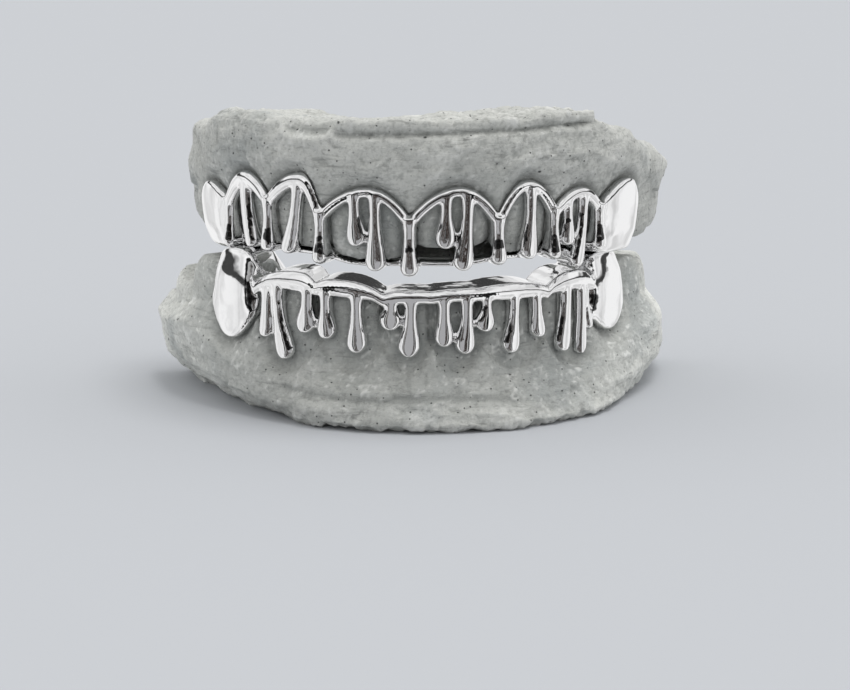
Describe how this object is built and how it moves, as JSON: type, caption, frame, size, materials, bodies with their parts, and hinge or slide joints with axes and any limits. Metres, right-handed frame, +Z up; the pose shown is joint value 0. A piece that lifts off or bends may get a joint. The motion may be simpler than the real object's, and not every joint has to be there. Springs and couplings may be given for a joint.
{
  "type": "grillz on dental casts",
  "caption": "Upper and lower open-face dental grills with hanging drips, each seated on its horseshoe stone dental cast, the upper cast resting on the lower.",
  "frame": {"origin": "middle of the whole on the ground, under the lower cast", "axes": "+X to the right of someone who faces the front teeth, -Y the way the front teeth look, +Z up"},
  "size_m": [0.0544, 0.0364, 0.0313],
  "materials": {
    "stone": "dull grey-green dental stone with small pores",
    "white_metal": "mirror-polished white gold or silver"
  },
  "bodies": {
    "root": {"lower_cast": "stone", "upper_cast": "stone", "lower_grill": "white_metal", "upper_grill": "white_metal"}
  },
  "joints": []
}
